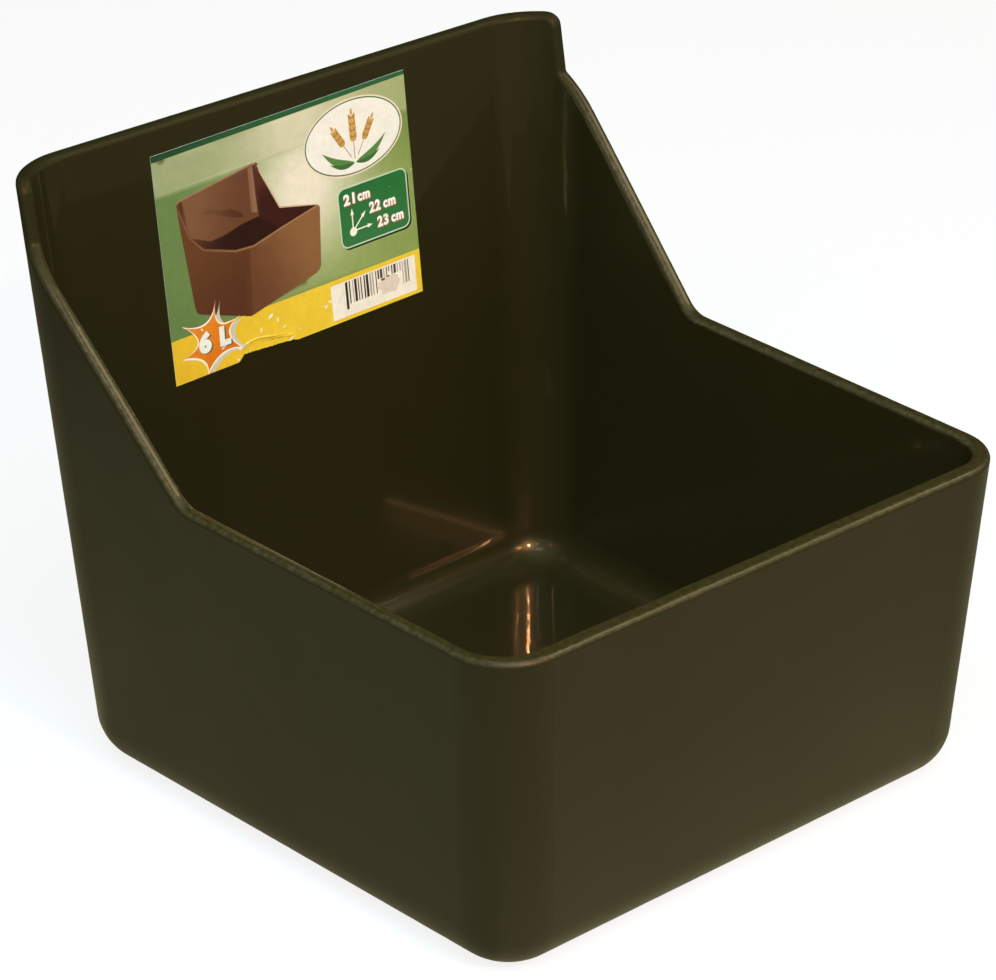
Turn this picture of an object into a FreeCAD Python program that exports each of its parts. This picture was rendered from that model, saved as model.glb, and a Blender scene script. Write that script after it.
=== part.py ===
import FreeCAD, Part
import math
import os

import Sketcher
from FreeCAD import Placement, Rotation, Vector

# Open feed trough for a stable animal: one plastic moulding with a high back wall, and a
# printed sheet stuck to the inside of that wall.
#
# Frame: millimetres, +Z up, -Y the low front wall, +Y the high back wall, X across the
# trough. The origin is the middle of the bounding box's bottom face, on the ground.

# ---------------------------------------------------------------- driving dimensions
# (alias, value, what it is)
DIMENSIONS = [
    ("top_width", 234.6, "outside width at the top of the back, over the sharp corners"),
    ("top_depth", 231.5, "outside depth, front rim to top of back"),
    ("total_height", 204.0, "top of the back wall above the ground"),
    ("front_height", 113.6, "front rim above the ground"),
    ("side_lean", 0.0617, "side walls lean out, mm per mm of height"),
    ("front_lean", 0.0822, "front wall leans out, mm per mm of height"),
    ("back_lean", 0.0606, "back wall leans out, mm per mm of height"),
    ("plan_taper", 0.01436, "each side closes in toward the front, mm per mm of depth"),
    ("loft_top", 216.0, "height the raw tub is drawn to before its top is trimmed"),
    ("front_corner_radius", 20.7, "outside front corners, in plan"),
    ("back_corner_radius_low", 22.4, "outside back corners at the ground, in plan"),
    ("back_corner_radius_high", 27.2, "outside back corners at loft_top, in plan"),
    ("base_edge_radius", 17.3, "outside edge round the bottom"),
    ("side_wall", 5.0, "side wall thickness"),
    ("back_wall", 5.0, "back wall thickness"),
    ("front_wall_low", 5.6, "front wall thickness at the floor"),
    ("front_wall_rim", 6.7, "front wall thickness at its rim"),
    ("floor_wall", 5.0, "floor thickness"),
    ("inner_front_radius", 15.0, "inside front corners, in plan"),
    ("inner_floor_radius", 13.0, "inside edge round the floor"),
    ("knee_depth", 30.5, "where the level side rim turns up, behind the middle"),
    ("knee_height", 115.7, "height of that turn"),
    ("knee_radius", 11.0, "rounding in the turn"),
    ("shoulder_depth", 76.0, "where the 45 degree slope eases off a little"),
    ("shoulder_height", 162.3, "height of that point"),
    ("shoulder_radius", 100.0, "rounding over the shoulder"),
    ("notch_depth", 97.2, "front edge of the upright return of the back wall, at its foot"),
    ("notch_height", 183.6, "height where the slope meets that upright edge"),
    ("notch_radius", 2.4, "rounding in that inner corner"),
    ("crown_depth", 100.3, "front edge of that return at the top, where it has leaned back"),
    ("crown_radius", 5.0, "rounding at the top of the upright edge"),
    ("trim_reach", 170.0, "rim cutter beyond the middle, to front and back, clear of the tub"),
    ("trim_headroom", 60.0, "rim cutter above total_height, clear of the tub"),
    ("rim_outer_radius", 2.0, "outer edge of the whole rim"),
    ("rim_inner_radius", 2.2, "inner edge of the whole rim"),
    ("label_width", 106.1, "printed sheet, across"),
    ("label_height", 79.4, "printed sheet, up the wall"),
    ("label_thickness", 0.3, "printed sheet with its adhesive"),
    ("label_gap", 0.03, "adhesive clearance to the wall"),
    ("label_centre_across", -1.9, "middle of the sheet, across the trough"),
    ("label_centre_up", 156.0, "middle of the sheet, measured up the wall from the ground"),
    ("label_tilt", 1.4, "the sheet is stuck on slightly turned, degrees"),
    ("tear_start", 26.1, "left end of the torn strip, from the sheet's lower left corner"),
    ("tear_end", 48.8, "start of the tear's return to the edge, from the same corner"),
    ("tear_depth_left", 2.2, "torn strip depth at its left end"),
    ("tear_depth_right", 0.7, "torn strip depth at its right end"),
    ("tear_run", 2.5, "width of the slanted cut at each end of the tear"),
]

# (alias, formula on other aliases, what it is)
DERIVED = [
    ("half_depth", "top_depth / 2", "middle to the front rim or the top of the back"),
    ("inner_back_radius_low", "back_corner_radius_low - back_wall",
     "inside back corners at the floor, in plan"),
    ("inner_back_radius_high", "back_corner_radius_high - back_wall",
     "inside back corners at loft_top, in plan"),
    ("front_wall_high",
     "front_wall_low + (front_wall_rim - front_wall_low) / (front_height - floor_wall)"
     " * (loft_top - floor_wall)",
     "front wall thickness carried on up to loft_top"),
    ("label_half_width", "label_width / 2", "half the printed sheet, across"),
    ("label_half_height", "label_height / 2", "half the printed sheet, up the wall"),
    ("label_foot", "half_depth - total_height * back_lean - back_wall - label_gap",
     "depth of the sheet's plane where it meets the ground"),
]

# Horizontal outlines of the tub. Columns: sketch name, height, set-in from the outside at
# the sides, back and front, then the front and back corner radii.
SECTIONS = [
    ("outer_section_ground", "0", "0", "0", "0",
     "front_corner_radius", "back_corner_radius_low"),
    ("outer_section_high", "loft_top", "0", "0", "0",
     "front_corner_radius", "back_corner_radius_high"),
    ("cavity_section_floor", "floor_wall", "side_wall", "back_wall", "front_wall_low",
     "inner_front_radius", "inner_back_radius_low"),
    ("cavity_section_high", "loft_top", "side_wall", "back_wall", "front_wall_high",
     "inner_front_radius", "inner_back_radius_high"),
]
for name, level, side, back, front, _front_radius, _back_radius in SECTIONS:
    half_width = f"top_width / 2 - (total_height - {level}) * side_lean - {side} - plan_taper"
    DERIVED += [
        (name + "_level", level, "height of the outline"),
        (name + "_back", f"half_depth - (total_height - {level}) * back_lean - {back}",
         "middle to its back line"),
        (name + "_front", f"half_depth - (front_height - {level}) * front_lean - {front}",
         "middle to its front line"),
        (name + "_half_back", f"{half_width} * (half_depth - {name}_back)",
         "half its width along the back line"),
        (name + "_half_front", f"{half_width} * (half_depth + {name}_front)",
         "half its width along the front line"),
    ]

doc = FreeCAD.newDocument("feed_trough")
sheet = doc.addObject("Spreadsheet::Sheet", "Dimensions")
cells = [(alias, repr(value), note) for alias, value, note in DIMENSIONS]
cells += [(alias, "=" + formula, note) for alias, formula, note in DERIVED]
for row, (alias, content, note) in enumerate(cells, start=1):
    sheet.set(f"A{row}", alias)
    sheet.set(f"B{row}", content)
    sheet.set(f"C{row}", note)
    sheet.setAlias(f"B{row}", alias)
doc.recompute()
SIZE = {alias: float(sheet.get(alias)) for alias, _content, _note in cells}


def cell(alias):
    return "Dimensions." + alias


def require(condition, message):
    if not condition:
        raise RuntimeError(message)


# ---------------------------------------------------------------- sketch helpers
# Geometry and point numbers as the sketcher counts them
ORIGIN = (-1, 1)
VERTICAL_AXIS = -2
START, END = 1, 2


def new_sketch(body, name, role):
    """Sketch on the body's origin plane that has the given role."""
    plane = next(item for item in body.Origin.OriginFeatures if item.Role == role)
    sketch = body.newObject("Sketcher::SketchObject", name)
    sketch.AttachmentSupport = [(plane, "")]
    sketch.MapMode = "FlatFace"
    return sketch


def constrain(sketch, kind, *places):
    return sketch.addConstraint(Sketcher.Constraint(kind, *places))


def drive(sketch, name, alias, kind, *places):
    """Add a named dimension that takes its value from the sheet."""
    index = constrain(sketch, kind, *places, SIZE[alias])
    sketch.renameConstraint(index, name)
    sketch.setExpression("Constraints." + name, cell(alias))


def rounded_path(points, radii):
    """Lines and arcs of a closed counter-clockwise outline; radius 0 leaves a corner sharp.

    Returns a list of (geometry, kind, corner number, first end, last end).
    """
    count = len(points)
    corners = []
    for i, point in enumerate(points):
        arriving = (point - points[i - 1]).normalize()
        leaving = (points[(i + 1) % count] - point).normalize()
        turn = math.atan2(
            arriving.x * leaving.y - arriving.y * leaving.x, arriving.dot(leaving))
        cut = radii[i] * math.tan(abs(turn) / 2.0)
        corners.append((point - arriving * cut, point + leaving * cut, arriving, turn))
    path = []
    for i, (arc_start, arc_end, arriving, turn) in enumerate(corners):
        if radii[i] > 0:
            side = 1.0 if turn > 0 else -1.0
            centre = arc_start + Vector(-arriving.y, arriving.x, 0) * (side * radii[i])
            angle_in = math.atan2(arc_start.y - centre.y, arc_start.x - centre.x)
            angle_out = math.atan2(arc_end.y - centre.y, arc_end.x - centre.x)
            circle = Part.Circle(centre, Vector(0, 0, 1), radii[i])
            # arcs always run counter-clockwise, so a right turn is drawn back to front
            if side > 0:
                while angle_out < angle_in:
                    angle_out += 2 * math.pi
                arc = Part.ArcOfCircle(circle, angle_in, angle_out)
                path.append((arc, "arc", i, START, END))
            else:
                while angle_in < angle_out:
                    angle_in += 2 * math.pi
                arc = Part.ArcOfCircle(circle, angle_out, angle_in)
                path.append((arc, "arc", i, END, START))
        line = Part.LineSegment(arc_end, corners[(i + 1) % count][0])
        path.append((line, "line", i, START, END))
    return path


def draw_path(sketch, points, radii):
    """Draw the outline with its pieces joined; returns {(kind, corner): geometry index}."""
    path = rounded_path(points, radii)
    where = {}
    for geometry, kind, corner, _first, _last in path:
        where[(kind, corner)] = sketch.addGeometry(geometry, False)
    for i, (_geometry, kind, corner, _first, last) in enumerate(path):
        _geometry, next_kind, next_corner, next_first, _last = path[(i + 1) % len(path)]
        joint = "Tangent" if "arc" in (kind, next_kind) else "Coincident"
        constrain(sketch, joint, where[(kind, corner)], last,
                  where[(next_kind, next_corner)], next_first)
    return where


def corner_point(sketch, point, *lines):
    """Construction point held on the given lines, or where they would meet."""
    index = sketch.addGeometry(Part.Point(point), True)
    for line in lines:
        constrain(sketch, "PointOnObject", index, START, line)
    return index


def draw_section(body, name, _level, _side, _back, _front, front_radius, back_radius):
    """Horizontal outline of the tub, from one row of SECTIONS."""
    sketch = new_sketch(body, name, "XY_Plane")
    sketch.setExpression("AttachmentOffset.Base.z", cell(name + "_level"))
    y_front, y_back = -SIZE[name + "_front"], SIZE[name + "_back"]
    half_front, half_back = SIZE[name + "_half_front"], SIZE[name + "_half_back"]
    points = [
        Vector(-half_front, y_front, 0),
        Vector(half_front, y_front, 0),
        Vector(half_back, y_back, 0),
        Vector(-half_back, y_back, 0),
    ]
    radii = [front_radius, front_radius, back_radius, back_radius]
    where = draw_path(sketch, points, [SIZE[alias] for alias in radii])
    front_line, right_line, back_line, left_line = [where[("line", i)] for i in range(4)]
    constrain(sketch, "Horizontal", front_line)
    constrain(sketch, "Horizontal", back_line)
    front_right = corner_point(sketch, points[1], front_line, right_line)
    back_right = corner_point(sketch, points[2], back_line, right_line)
    front_left = corner_point(sketch, points[0], left_line)
    back_left = corner_point(sketch, points[3], left_line)
    for right, left in ((front_right, front_left), (back_right, back_left)):
        constrain(sketch, "Symmetric", right, START, left, START, VERTICAL_AXIS)

    drive(sketch, "to_back", name + "_back", "DistanceY", *ORIGIN, back_right, START)
    drive(sketch, "to_front", name + "_front", "DistanceY", front_right, START, *ORIGIN)
    drive(sketch, "half_back", name + "_half_back",
          "DistanceX", *ORIGIN, back_right, START)
    drive(sketch, "half_front", name + "_half_front",
          "DistanceX", *ORIGIN, front_right, START)
    for i, place in enumerate(("front_left", "front_right", "back_right", "back_left")):
        drive(sketch, "round_" + place, radii[i], "Radius", where[("arc", i)])
    return sketch


# ---------------------------------------------------------------- solid helpers
def settle(feature, volume_before, grows):
    """Recompute, and stop if the feature failed or changed the volume the wrong way."""
    doc.recompute()
    shape = feature.Shape
    require(shape.isValid() and shape.Volume != volume_before
            and (shape.Volume > volume_before) == grows, feature.Name + " failed")
    return feature


def add_loft(body, kind, name, low_row, high_row, volume_before, grows):
    low = draw_section(body, *low_row)
    high = draw_section(body, *high_row)
    doc.recompute()
    loft = body.newObject(kind, name)
    loft.Profile = high
    loft.Sections = [low]
    loft.Ruled = True
    return settle(loft, volume_before, grows)


def add_fillet(body, name, base, edges, alias, grows=False):
    fillet = body.newObject("PartDesign::Fillet", name)
    fillet.Base = (base, edges)
    fillet.setExpression("Radius", cell(alias))
    return settle(fillet, base.Shape.Volume, grows)


def edges_at(shape, height):
    """Names of the edges that lie in the horizontal plane at this height."""
    return [
        f"Edge{i}" for i, edge in enumerate(shape.Edges, start=1)
        if abs(edge.BoundBox.ZMin - height) < 1e-4
        and abs(edge.BoundBox.ZMax - height) < 1e-4
    ]


# ---------------------------------------------------------------- rim, seen from the side
# Low and nearly level in front, a 45 degree slope that eases off a little, a small inner
# corner, the upright edge of the back wall's return, and the top. The outline closes above
# the tub, and everything inside it is cut away. Sketch x and y are the model's Y and Z.
reach, top = SIZE["trim_reach"], SIZE["total_height"]
front_rise = ((SIZE["knee_height"] - SIZE["front_height"])
              / (SIZE["knee_depth"] + SIZE["half_depth"]))
RIM_POINTS = [
    Vector(-reach, SIZE["front_height"] - (reach - SIZE["half_depth"]) * front_rise, 0),
    Vector(SIZE["knee_depth"], SIZE["knee_height"], 0),
    Vector(SIZE["shoulder_depth"], SIZE["shoulder_height"], 0),
    Vector(SIZE["notch_depth"], SIZE["notch_height"], 0),
    Vector(SIZE["crown_depth"], top, 0),
    Vector(reach, top, 0),
    Vector(reach, top + SIZE["trim_headroom"], 0),
    Vector(-reach, top + SIZE["trim_headroom"], 0),
]
# (name, height alias) of corners 1 to 4; depth and radius aliases follow from the name
RIM_CORNERS = [
    ("knee", "knee_height"),
    ("shoulder", "shoulder_height"),
    ("notch", "notch_height"),
    ("crown", "total_height"),
]
RIM_RADII = [0.0] + [SIZE[name + "_radius"] for name, _height in RIM_CORNERS] + [0.0] * 3


def draw_rim_profile(body):
    profile = new_sketch(body, "rim_profile", "YZ_Plane")
    where = draw_path(profile, RIM_POINTS, RIM_RADII)
    line = [where[("line", i)] for i in range(8)]
    for direction, indexes in (("Vertical", (5, 7)), ("Horizontal", (4, 6))):
        for i in indexes:
            constrain(profile, direction, line[i])
    corners = [
        corner_point(profile, RIM_POINTS[i], line[i - 1], line[i]) for i in range(1, 5)
    ]
    front = corner_point(
        profile, Vector(-SIZE["half_depth"], SIZE["front_height"], 0), line[0])

    for (name, height), point in zip(RIM_CORNERS, corners):
        drive(profile, name + "_y", name + "_depth", "DistanceX", *ORIGIN, point, START)
        drive(profile, name + "_z", height, "DistanceY", *ORIGIN, point, START)
    drive(profile, "front_y", "half_depth", "DistanceX", front, START, *ORIGIN)
    drive(profile, "front_z", "front_height", "DistanceY", *ORIGIN, front, START)
    for i, (name, _height) in enumerate(RIM_CORNERS, start=1):
        drive(profile, name + "_round", name + "_radius", "Radius", where[("arc", i)])
    drive(profile, "reach_front", "trim_reach", "DistanceX", line[0], START, *ORIGIN)
    drive(profile, "reach_back", "trim_reach", "DistanceX", *ORIGIN, line[5], START)
    drive(profile, "headroom", "trim_headroom",
          "DistanceY", line[5], START, line[5], END)
    doc.recompute()
    return profile


def rim_path_edges():
    """The rim line itself, corners 0 to 4 of the outline, as edges in the YZ plane."""
    sketch_to_model = FreeCAD.Matrix(
        0, 0, 1, 0,
        1, 0, 0, 0,
        0, 1, 0, 0,
        0, 0, 0, 1)
    return [
        geometry.toShape().transformGeometry(sketch_to_model)
        for geometry, _kind, corner, _first, _last in rounded_path(RIM_POINTS, RIM_RADII)
        if corner <= 4
    ]


def depth_in_wall(point):
    """How far a point of the rim lies inside the tub's outside surface, in plan."""
    below_top = SIZE["total_height"] - point.z
    half_width = (SIZE["top_width"] / 2 - below_top * SIZE["side_lean"]
                  - SIZE["plan_taper"] * (SIZE["half_depth"] - point.y))
    gap_side = half_width - abs(point.x)
    gap_back = SIZE["half_depth"] - below_top * SIZE["back_lean"] - point.y
    gap_front = (point.y + SIZE["half_depth"]
                 - (SIZE["front_height"] - point.z) * SIZE["front_lean"])
    # in a rounded corner, measure from the corner's own outside arc
    radius_low, radius_high = SIZE["back_corner_radius_low"], SIZE["back_corner_radius_high"]
    back_radius = radius_low + (radius_high - radius_low) * point.z / SIZE["loft_top"]
    for gap, radius in ((gap_back, back_radius), (gap_front, SIZE["front_corner_radius"])):
        if gap < radius and gap_side < radius:
            return radius - math.hypot(radius - gap, radius - gap_side)
    return min(gap_side, gap_back, gap_front)


def rim_edges(shape, inner):
    """Names of the rim's edges on the cavity side (inner) or on the outside."""
    path_edges = rim_path_edges()
    path_tolerance = 0.02
    straight_tolerance = 0.01
    longest_crossing = 20

    def off_path(point):
        vertex = Part.Vertex(Vector(0, point.y, point.z))
        return min(edge.distToShape(vertex)[0] for edge in path_edges)

    names = []
    for i, edge in enumerate(shape.Edges, start=1):
        # leave out the short straight edges that cross the rim from side to side
        box = edge.BoundBox
        if (box.YLength < straight_tolerance and box.ZLength < straight_tolerance
                and box.XLength < longest_crossing):
            continue
        first, last = edge.FirstParameter, edge.LastParameter
        samples = [edge.valueAt(first + (last - first) * k / 4.0) for k in range(5)]
        if max(off_path(point) for point in samples) > path_tolerance:
            continue
        middle = edge.valueAt((first + last) / 2)
        if (depth_in_wall(middle) > SIZE["side_wall"] / 2) == inner:
            names.append(f"Edge{i}")
    return names


# ---------------------------------------------------------------- trough_shell
def build_shell():
    body = doc.addObject("PartDesign::Body", "trough_shell")
    body.Label = "trough_shell"
    tub = add_loft(body, "PartDesign::AdditiveLoft", "outer_tub",
                   SECTIONS[0], SECTIONS[1], volume_before=0.0, grows=True)
    base_round = add_fillet(
        body, "base_edge", tub, edges_at(tub.Shape, 0.0), "base_edge_radius")

    cavity = add_loft(body, "PartDesign::SubtractiveLoft", "cavity", SECTIONS[2],
                      SECTIONS[3], volume_before=base_round.Shape.Volume, grows=False)
    floor_edges = edges_at(cavity.Shape, SIZE["floor_wall"])
    floor_round = add_fillet(
        body, "floor_edge", cavity, floor_edges, "inner_floor_radius", grows=True)

    profile = draw_rim_profile(body)
    trim = body.newObject("PartDesign::Pocket", "rim_trim")
    trim.Profile = profile
    trim.Type = "ThroughAll"
    trim.SideType = "Symmetric"
    settle(trim, floor_round.Shape.Volume, grows=False)

    # soften both edges of the rim, all the way round
    rim_outer = add_fillet(body, "rim_outer_edge", trim,
                           rim_edges(trim.Shape, inner=False), "rim_outer_radius")
    rim_inner = add_fillet(body, "rim_inner_edge", rim_outer,
                           rim_edges(rim_outer.Shape, inner=True), "rim_inner_radius")
    body.Tip = rim_inner
    return body


# ---------------------------------------------------------------- product_label
def draw_label_outline(body):
    """Rectangle with a shallow torn strip missing from its lower edge."""
    sketch = new_sketch(body, "label_outline", "XY_Plane")
    sketch.AttachmentOffset = Placement(
        Vector(SIZE["label_centre_across"], SIZE["label_centre_up"], 0),
        Rotation(Vector(0, 0, 1), SIZE["label_tilt"]))
    sketch.setExpression("AttachmentOffset.Base.x", cell("label_centre_across"))
    sketch.setExpression("AttachmentOffset.Base.y", cell("label_centre_up"))
    sketch.setExpression("AttachmentOffset.Rotation.Angle", cell("label_tilt"))

    right, high = SIZE["label_half_width"], SIZE["label_half_height"]
    left, low = -right, -high
    tear_left, tear_right = left + SIZE["tear_start"], left + SIZE["tear_end"]
    corners = [
        Vector(left, low, 0),
        Vector(tear_left, low, 0),
        Vector(tear_left + SIZE["tear_run"], low + SIZE["tear_depth_left"], 0),
        Vector(tear_right, low + SIZE["tear_depth_right"], 0),
        Vector(tear_right + SIZE["tear_run"], low, 0),
        Vector(right, low, 0),
        Vector(right, high, 0),
        Vector(left, high, 0),
    ]
    count = len(corners)
    lines = [
        sketch.addGeometry(Part.LineSegment(corners[i], corners[(i + 1) % count]), False)
        for i in range(count)
    ]
    for i in range(count):
        constrain(sketch, "Coincident", lines[i], END, lines[(i + 1) % count], START)
    low_left, tear_in, _torn, tear_out, low_right, right_side, top_side, left_side = lines
    for line in (low_left, low_right, top_side):
        constrain(sketch, "Horizontal", line)
    for line in (right_side, left_side):
        constrain(sketch, "Vertical", line)

    # constraint name, alias, direction, from, to
    for name, alias, kind, begin, finish in (
        ("left", "label_half_width", "DistanceX", (low_left, START), ORIGIN),
        ("right", "label_half_width", "DistanceX", ORIGIN, (right_side, START)),
        ("low", "label_half_height", "DistanceY", (low_left, START), ORIGIN),
        ("low_right", "label_half_height", "DistanceY", (low_right, END), ORIGIN),
        ("high", "label_half_height", "DistanceY", ORIGIN, (top_side, START)),
        ("tear_from", "tear_start", "DistanceX", (low_left, START), (tear_in, START)),
        ("tear_run_in", "tear_run", "DistanceX", (tear_in, START), (tear_in, END)),
        ("tear_rise", "tear_depth_left", "DistanceY", (tear_in, START), (tear_in, END)),
        ("tear_to", "tear_end", "DistanceX", (low_left, START), (tear_out, START)),
        ("tear_drop", "tear_depth_right", "DistanceY", (tear_out, END), (tear_out, START)),
        ("tear_run_out", "tear_run", "DistanceX", (tear_out, START), (tear_out, END)),
    ):
        drive(sketch, name, alias, kind, *begin, *finish)
    return sketch


def build_label():
    """Thin printed sheet on the inside of the back wall.

    The body's own XY plane lies along the wall, label_gap clear of it: X across the
    trough, Y up the leaning wall, Z into the cavity.
    """
    body = doc.addObject("PartDesign::Body", "product_label")
    body.Label = "product_label"
    lean_angle = math.degrees(math.atan(SIZE["back_lean"]))
    body.Placement = Placement(
        Vector(0, SIZE["label_foot"], 0), Rotation(Vector(1, 0, 0), 90.0 - lean_angle))
    body.setExpression(".Placement.Base.y", cell("label_foot"))
    outline = draw_label_outline(body)
    doc.recompute()
    pad = body.newObject("PartDesign::Pad", "label_sheet")
    pad.Profile = outline
    pad.setExpression("Length", cell("label_thickness"))
    doc.recompute()
    body.Tip = pad
    return body


shell = build_shell()
label = build_label()

# ---------------------------------------------------------------- checks and export
for item in doc.Objects:
    state = " ".join(item.State)
    require("Invalid" not in state and "Error" not in state, f"{item.Name} is {state}")
for body in (shell, label):
    shape = body.Shape
    require(not shape.isNull() and shape.isValid() and len(shape.Solids) == 1,
            body.Label + " is not one valid solid")
require(shell.Shape.common(label.Shape).Volume < 1e-6, "the label overlaps the wall")

os.makedirs("parts", exist_ok=True)
for body in (shell, label):
    body.Shape.exportStep(f"parts/{body.Label}.step")
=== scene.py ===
"""Corner-shaped feed trough in olive-brown plastic, with a printed sheet on one outer face.

World: metres, +Z up. The trough stands on the floor at z = 0, near the z axis. The sheet faces
-Y, and the camera looks from the -X -Y side. The shell keeps its CAD mesh and gets a material;
the sheet is rebuilt as a mesh whose printed edges are real edges.
"""
import math
import random
import bpy
import bmesh
import numpy as np
from mathutils import Vector, Matrix, geometry


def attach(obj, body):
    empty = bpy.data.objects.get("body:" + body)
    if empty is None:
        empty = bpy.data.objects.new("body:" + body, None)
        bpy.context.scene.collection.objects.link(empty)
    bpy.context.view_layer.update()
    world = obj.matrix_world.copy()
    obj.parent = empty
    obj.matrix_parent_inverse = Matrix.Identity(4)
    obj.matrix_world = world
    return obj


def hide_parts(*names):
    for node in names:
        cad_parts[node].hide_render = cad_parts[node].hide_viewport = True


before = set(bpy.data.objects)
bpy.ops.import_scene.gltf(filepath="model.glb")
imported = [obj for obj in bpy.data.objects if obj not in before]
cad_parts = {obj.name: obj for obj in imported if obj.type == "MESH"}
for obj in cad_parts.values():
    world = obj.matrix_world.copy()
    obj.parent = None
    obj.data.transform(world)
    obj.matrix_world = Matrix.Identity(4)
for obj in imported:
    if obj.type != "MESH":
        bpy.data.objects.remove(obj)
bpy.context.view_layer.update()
scene = bpy.context.scene
MM = 0.001


# ------------------------------------------------------------------ colour and easing
def linear(colour):
    """Display colour 0-255 to scene-linear."""
    out = []
    for value in colour:
        value = value / 255.0
        out.append(value / 12.92 if value <= 0.04045 else ((value + 0.055) / 1.055) ** 2.4)
    return out


def lerp(start, end, t):
    return [start[i] + (end[i] - start[i]) * t for i in range(3)]


def clamp01(t):
    return 0.0 if t < 0 else 1.0 if t > 1 else t


def smooth(t):
    t = clamp01(t)
    return t * t * (3 - 2 * t)


# ------------------------------------------------------------------ node graphs
class Graph:
    """Emptied node tree of a material or world, with helpers that read like formulas."""

    def __init__(self, owner):
        owner.use_nodes = True
        self.tree = owner.node_tree
        self.tree.nodes.clear()

    def node(self, kind, inputs, **settings):
        """New node; an input given as a socket is linked, any other value is set."""
        made = self.tree.nodes.new(kind)
        for key, value in settings.items():
            setattr(made, key, value)
        for key, value in inputs.items():
            if isinstance(value, bpy.types.NodeSocket):
                self.tree.links.new(value, made.inputs[key])
            else:
                made.inputs[key].default_value = value
        return made

    def source(self, kind, output, **settings):
        return self.node(kind, {}, **settings).outputs[output]

    def math(self, operation, a, b=0.0, clamp=False):
        inputs = {0: a, 1: b, 2: 0.0}
        return self.node("ShaderNodeMath", inputs, operation=operation, use_clamp=clamp).outputs[0]

    def add(self, a, b, clamp=False):
        return self.math("ADD", a, b, clamp)

    def subtract(self, a, b):
        return self.math("SUBTRACT", a, b)

    def multiply(self, a, b):
        return self.math("MULTIPLY", a, b)

    def vector(self, operation, **inputs):
        """Vector math; the inputs are any of a, b and scale."""
        keys = {"a": 0, "b": 1, "scale": "Scale"}
        made = self.node("ShaderNodeVectorMath", {keys[k]: v for k, v in inputs.items()},
                         operation=operation)
        return made.outputs["Value" if operation in ("DOT_PRODUCT", "LENGTH") else "Vector"]

    def split(self, vector):
        return self.node("ShaderNodeSeparateXYZ", {0: vector}).outputs

    def mapping(self, vector, **inputs):
        return self.node("ShaderNodeMapping", {0: vector, **inputs}).outputs[0]

    def noise(self, vector, scale, detail=2.0, rough=0.5):
        inputs = {"Vector": vector, "Scale": scale, "Detail": detail, "Roughness": rough}
        return self.node("ShaderNodeTexNoise", inputs).outputs[0]

    def ramp(self, value, start, end, low=0.0, high=1.0, kind="SMOOTHSTEP"):
        """Change from low to high while the value goes from start to end."""
        inputs = {"Value": value, "From Min": start, "From Max": end, "To Min": low, "To Max": high}
        return self.node("ShaderNodeMapRange", inputs, interpolation_type=kind).outputs[0]

    def grain(self, vector, scale, detail=2.0, rough=0.5, low=0.0, high=1.0):
        """Noise with its middle range spread over low to high."""
        return self.ramp(self.noise(vector, scale, detail, rough), 0.3, 0.7, low, high)

    def mix(self, factor, a, b):
        """Colour mix."""
        a, b = ((*c, 1.0) if isinstance(c, tuple) else c for c in (a, b))
        return self.node("ShaderNodeMix", {0: factor, 6: a, 7: b}, data_type="RGBA").outputs[2]

    def mix_float(self, factor, a, b):
        return self.node("ShaderNodeMix", {0: factor, 2: a, 3: b}, data_type="FLOAT").outputs[0]

    def bump(self, height, strength, distance):
        inputs = {"Height": height, "Strength": strength, "Distance": distance}
        return self.node("ShaderNodeBump", inputs).outputs[0]


# ------------------------------------------------------------------ shapes on the sheet
# Artwork is laid out in millimetres on the sheet: x to the right, y up, from its lower left
# corner. A loop is a closed list of (x, y).
def angles(count):
    return [2 * math.pi * i / count for i in range(count)]


def turned(along, across_it, x, y, turn):
    """Point given in axes turned by an angle about (x, y)."""
    cosine, sine = math.cos(turn), math.sin(turn)
    return x + along * cosine - across_it * sine, y + along * sine + across_it * cosine


def ellipse(x, y, half_width, half_height, count):
    return [(x + half_width * math.cos(t), y + half_height * math.sin(t)) for t in angles(count)]


def rounded_rect(left, bottom, right, top, radius, steps=7):
    points = []
    for x, y, start in ((right - radius, top - radius, 0), (left + radius, top - radius, 90),
                        (left + radius, bottom + radius, 180),
                        (right - radius, bottom + radius, 270)):
        for i in range(steps + 1):
            angle = math.radians(start + 90.0 * i / steps)
            points.append((x + radius * math.cos(angle), y + radius * math.sin(angle)))
    return points


def through(start, middle, end, steps=10):
    """Quadratic curve through three points, without the last one."""
    control = [2 * middle[k] - (start[k] + end[k]) / 2 for k in range(2)]
    out = []
    for i in range(steps):
        t = i / steps
        out.append(tuple((1 - t) ** 2 * start[k] + 2 * t * (1 - t) * control[k] + t * t * end[k]
                         for k in range(2)))
    return out


def burst_outline(tips, valleys):
    loop = []
    for i, tip in enumerate(tips):
        loop += through(tip, valleys[i], tips[(i + 1) % len(tips)])
    return loop


def shrunk(loop, centre, factor):
    return [tuple(centre[k] + (point[k] - centre[k]) * factor for k in range(2)) for point in loop]


def moved(loops, dx, dy):
    return [[(x + dx, y + dy) for x, y in loop] for loop in loops]


def rim_loops(bm):
    """Closed loops along the open edges of a flat mesh."""
    neighbours = {}
    for edge in bm.edges:
        if len(edge.link_faces) == 1:
            a, b = edge.verts
            neighbours.setdefault(a.index, []).append(b.index)
            neighbours.setdefault(b.index, []).append(a.index)
    bm.verts.ensure_lookup_table()
    loops, seen = [], set()
    for start in neighbours:
        if start in seen:
            continue
        loop, previous, current = [], None, start
        while current not in seen:
            seen.add(current)
            loop.append((bm.verts[current].co.x, bm.verts[current].co.y))
            options = [k for k in neighbours[current] if k != previous and k not in seen]
            if not options:
                break
            previous, current = current, options[0]
        if len(loop) > 2:
            loops.append(loop)
    return loops


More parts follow.
